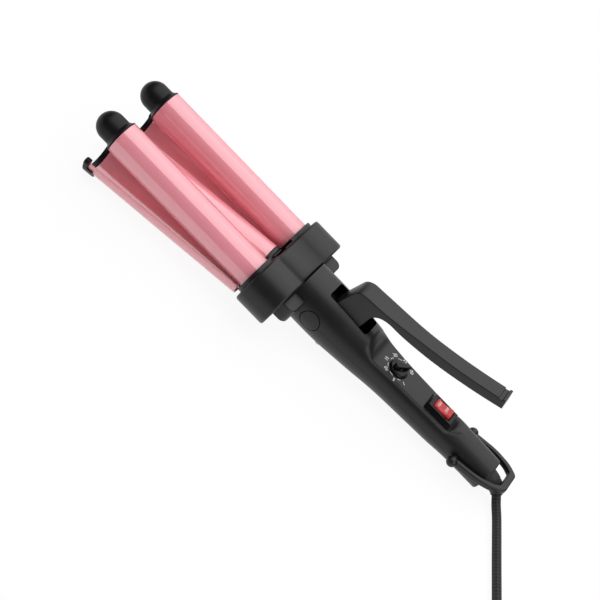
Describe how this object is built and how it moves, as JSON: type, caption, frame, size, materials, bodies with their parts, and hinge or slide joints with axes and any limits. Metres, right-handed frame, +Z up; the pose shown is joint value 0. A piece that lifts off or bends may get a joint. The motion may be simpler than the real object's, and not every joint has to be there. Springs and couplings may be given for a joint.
{
  "type": "hair waver",
  "caption": "Hair waver with fixed twin barrels, a sprung wave plate worked by a lever, dial, rocker switch, hang loop and cord.",
  "frame": {"origin": "centre of the tool's footprint on the surface it lies on, measured without the free cord", "axes": "+X from the barrel tips to the cord end of the handle, +Y across the barrels, +Z up"},
  "size_m": [0.5317, 0.2025, 0.0775],
  "materials": {
    "pink_metal": "satin metallic pink, baked coating",
    "black_satin": "satin black moulded plastic",
    "black_gloss": "glossy black moulded plastic",
    "red_gloss": "glossy red moulded plastic",
    "heater_metal": "bare",
    "steel": "bare",
    "board_green": "coated circuit board",
    "black_rubber": "matt black",
    "brass": "bare"
  },
  "bodies": {
    "body": {"barrel_left": "pink_metal", "barrel_right": "pink_metal", "barrel_cap_left": "black_satin", "barrel_cap_right": "black_satin", "collar_front_shell": "black_satin", "collar_rear_shell": "black_satin", "collar_lip_plate": "black_satin", "handle_front_shell": "black_satin", "handle_rear_shell": "black_satin", "pivot_cap_left": "black_satin", "pivot_cap_right": "black_satin", "switch_housing": "black_gloss", "cord_clamp": "black_satin", "barrel_heater_left": "heater_metal", "barrel_heater_right": "heater_metal", "barrel_carrier": "steel", "pivot_pin": "steel", "return_spring": "steel", "collar_screw_1": "steel", "collar_screw_2": "steel", "handle_screw_1": "steel", "handle_screw_2": "steel", "handle_screw_3": "steel", "cord_clamp_screw_1": "steel", "cord_clamp_screw_2": "steel", "circuit_board": "board_green", "potentiometer": "steel", "strain_relief": "black_rubber", "cord_inner": "black_rubber", "cord": "black_rubber", "cord_coil": "black_rubber", "plug_strain_relief": "black_rubber", "plug_body": "black_rubber", "plug_blade_1": "brass", "plug_blade_2": "brass"},
    "clamp": {"wave_plate": "pink_metal", "jaw_tip_cap": "black_satin", "jaw_base_holder": "black_satin", "jaw_heater": "heater_metal", "jaw_back_cover": "pink_metal", "clamp_arm": "steel", "clamp_lever": "black_satin", "lever_bolt": "steel"},
    "dial": {"dial_knob": "black_satin"},
    "rocker": {"switch_rocker": "red_gloss"},
    "loop": {"hang_loop": "black_satin"}
  },
  "joints": [
    {"name": "clamp_pivot", "type": "hinge", "parent": "body", "child": "clamp", "pos_m": [0.00993, 0, 0.02563], "axis": [0, 1, 0], "range_deg": [0, 8.1], "stiffness_Nm_per_rad": 2, "springref_deg": -17.19},
    {"name": "dial_turn", "type": "hinge", "parent": "body", "child": "dial", "pos_m": [0.07639, 0, 0.02959], "axis": [0.0835, 0, 0.9965], "range_deg": [0, 281]},
    {"name": "switch_rock", "type": "hinge", "parent": "body", "child": "rocker", "pos_m": [0.11706, 0, 0.02749], "axis": [0, 1, 0], "range_deg": [0, 16]},
    {"name": "loop_hinge", "type": "hinge", "parent": "body", "child": "loop", "pos_m": [0.14441, 0, 0.01626], "axis": [0, -1, 0], "range_deg": [0, 140]}
  ]
}
